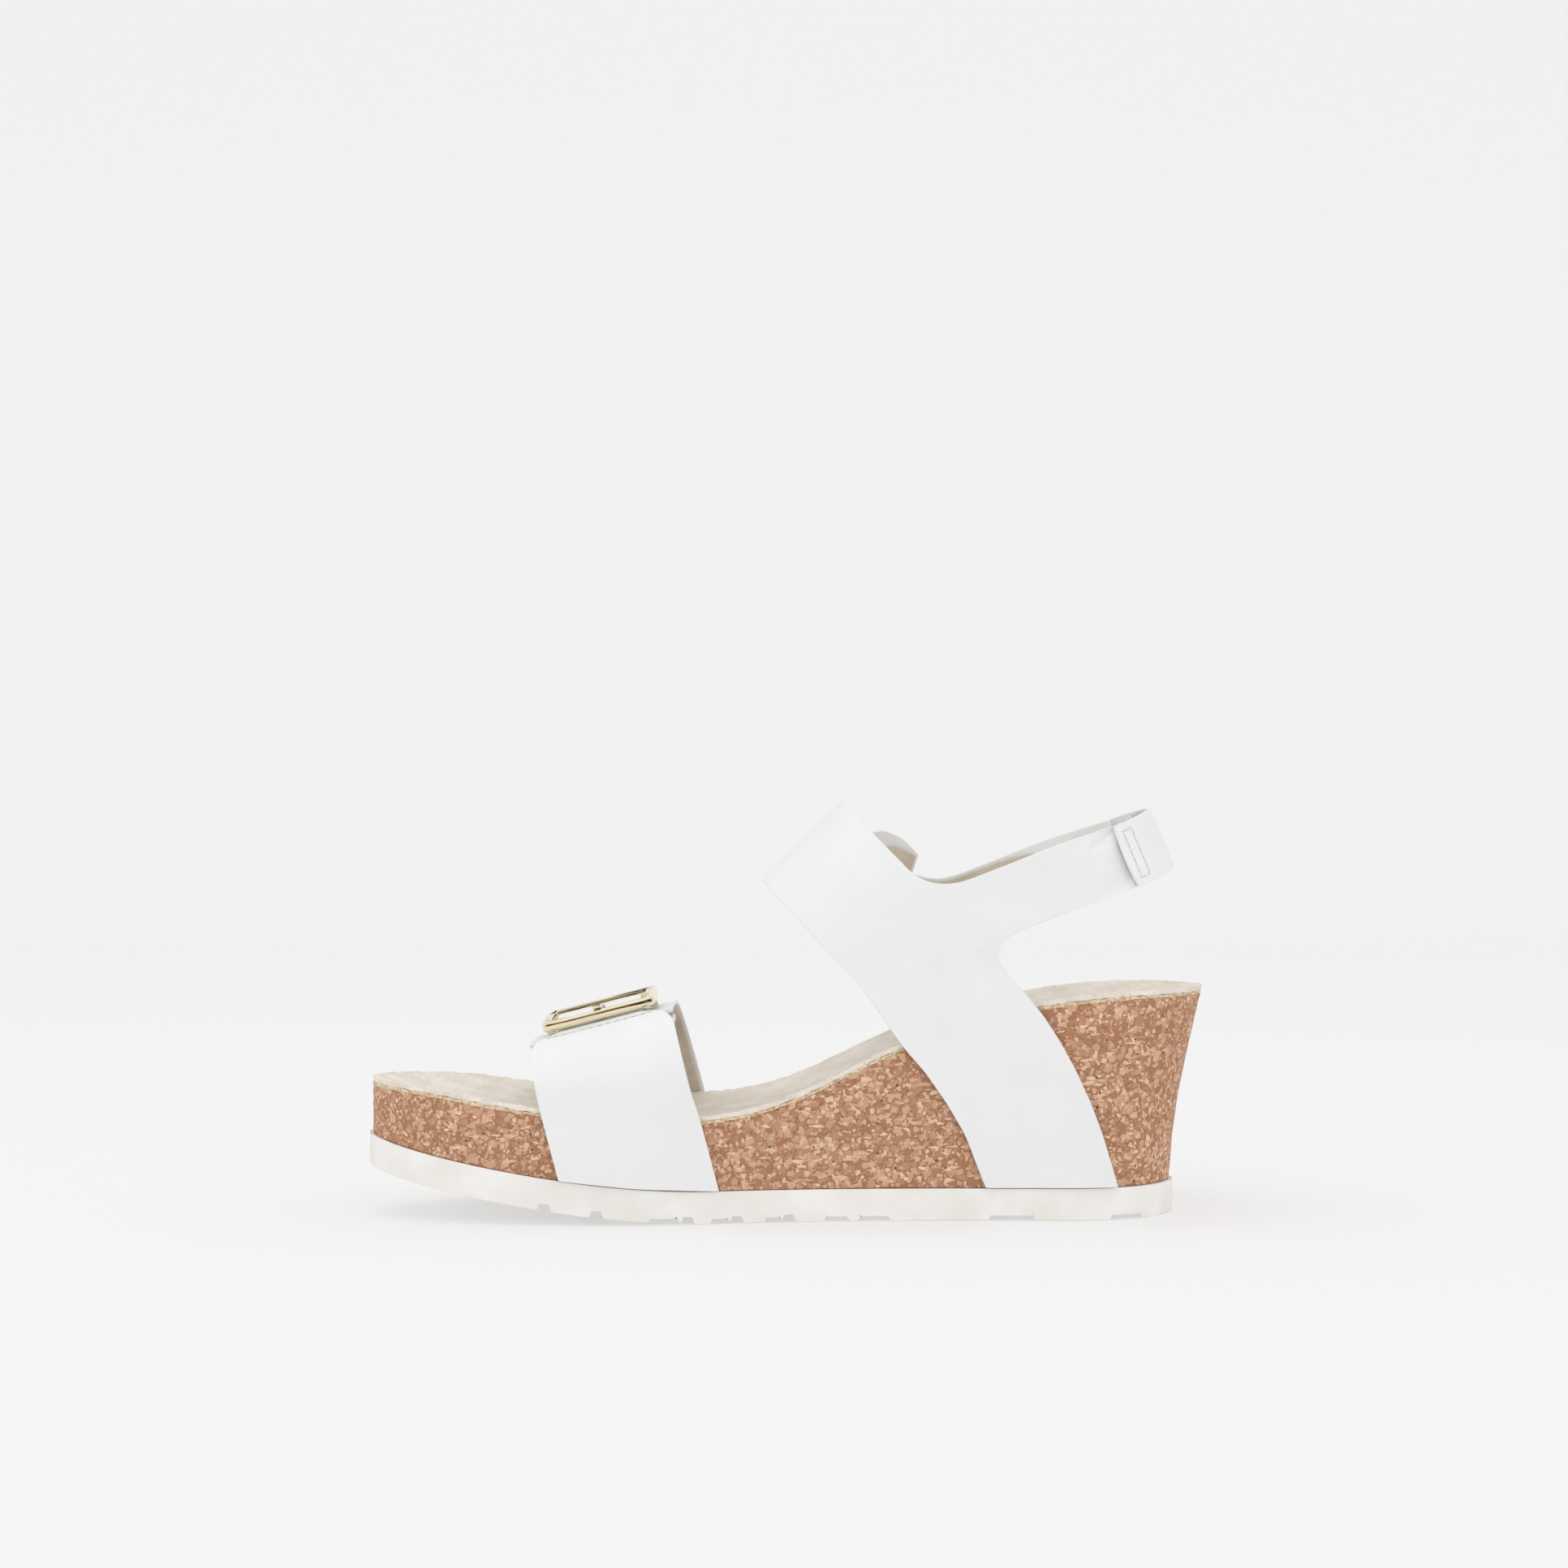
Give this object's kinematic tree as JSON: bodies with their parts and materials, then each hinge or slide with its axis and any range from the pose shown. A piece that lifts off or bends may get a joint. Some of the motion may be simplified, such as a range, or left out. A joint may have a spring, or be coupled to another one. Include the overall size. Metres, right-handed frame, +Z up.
{
  "type": "wedge sandal",
  "caption": "Open-toed wedge sandal: cork wedge on a foam outsole, a wide buckled strap over the toes and a forked instep strap that runs into a heel strap.",
  "frame": {"origin": "on the floor, under the middle of the sole's overall box", "axes": "+X to the heel, +Y to the outer (lateral) side, +Z up"},
  "size_m": [0.249, 0.0933, 0.1218],
  "materials": {
    "foam": "matte moulded foam",
    "cork": "pressed cork granules",
    "jute": "woven jute",
    "footbed": "napped suede",
    "suede": "napped suede",
    "leather": "smooth white leather",
    "thread": "sewing thread",
    "gold": "polished pale gold plate",
    "tape": "hook and loop tape"
  },
  "bodies": {
    "sandal": {"outsole": "foam", "cork_wedge": "cork", "upper_jute_layer": "jute", "footbed_lining": "footbed", "front_strap_medial": "leather", "front_strap_medial_lining": "suede", "front_strap_medial_stitching": "thread", "front_strap_lateral": "leather", "front_strap_lateral_lining": "suede", "front_strap_underlay": "leather", "buckle_bar_loop": "leather", "buckle_frame": "gold", "buckle_centre_bar": "gold", "instep_strap_medial": "leather", "instep_strap_medial_lining": "suede", "instep_strap_lateral": "leather", "instep_strap_lateral_lining": "suede", "instep_loop_patch": "tape", "heel_strap": "leather", "heel_strap_lining": "suede", "heel_loop_patch": "tape", "heel_strap_stitching": "thread"},
    "prong": {"buckle_prong": "gold"},
    "flap": {"instep_flap": "leather", "instep_flap_lining": "suede", "instep_hook_patch": "tape"},
    "heel_end": {"heel_strap_end": "leather", "heel_hook_patch": "tape"}
  },
  "joints": [
    {"name": "prong_pivot", "type": "hinge", "parent": "sandal", "child": "prong", "pos_m": [-0.05509, -0.007, 0.05806], "axis": [-0.9681, 0, -0.2504], "range_deg": [0, 35]},
    {"name": "instep_flap_fold", "type": "hinge", "parent": "sandal", "child": "flap", "pos_m": [0.00484, -0.003, 0.11015], "axis": [0.7193, 0, 0.6947], "range_deg": [0, 90]},
    {"name": "heel_strap_fold", "type": "hinge", "parent": "sandal", "child": "heel_end", "pos_m": [0.1088, 0.01758, 0.1099], "axis": [0.3843, 0, -0.9232], "range_deg": [0, 70]}
  ]
}
